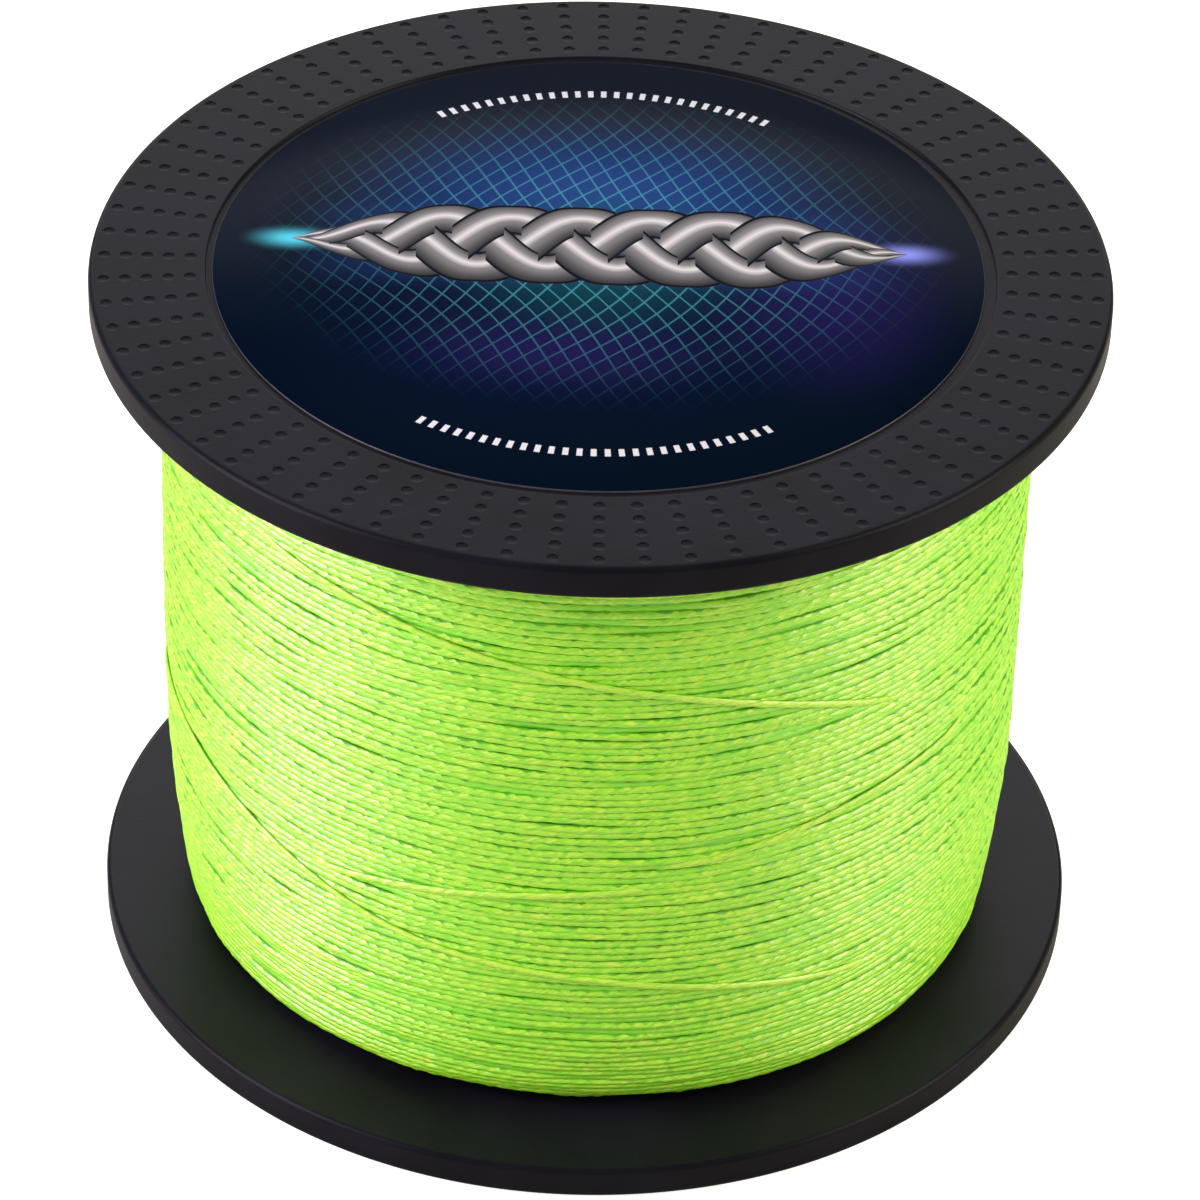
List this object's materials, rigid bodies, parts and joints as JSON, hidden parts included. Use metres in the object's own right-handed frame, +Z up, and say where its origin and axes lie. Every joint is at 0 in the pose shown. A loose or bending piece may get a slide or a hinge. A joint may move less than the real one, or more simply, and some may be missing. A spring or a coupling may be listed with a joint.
{
  "type": "fishing line spool",
  "caption": "Bulk spool of bright green braided fishing line between two black dimpled flanges, with a round face label and a spindle bore open at the lower end.",
  "frame": {"origin": "centre of the lower flange's outer face, which the spool stands on", "axes": "+Z up along the spool's axis, from the open end of the spindle bore to the labelled face; the spool is round about Z, so X and Y are free"},
  "size_m": [0.1, 0.1, 0.077],
  "materials": {
    "flange_plastic": "satin moulded black, dimpled ring on the outer face",
    "hub_plastic": "plain moulded black",
    "label_film": "printed film, satin lacquer",
    "paper_tape": "matte paper tape",
    "braided_line": "tight polyethylene braid, bright yellow-green, silky sheen"
  },
  "bodies": {
    "root": {"lower_flange": "flange_plastic", "upper_flange": "flange_plastic", "barrel": "hub_plastic", "spindle_sleeve": "hub_plastic", "face_label": "label_film", "start_tape": "paper_tape", "line_package": "braided_line", "line_outer_turns": "braided_line"}
  },
  "joints": []
}
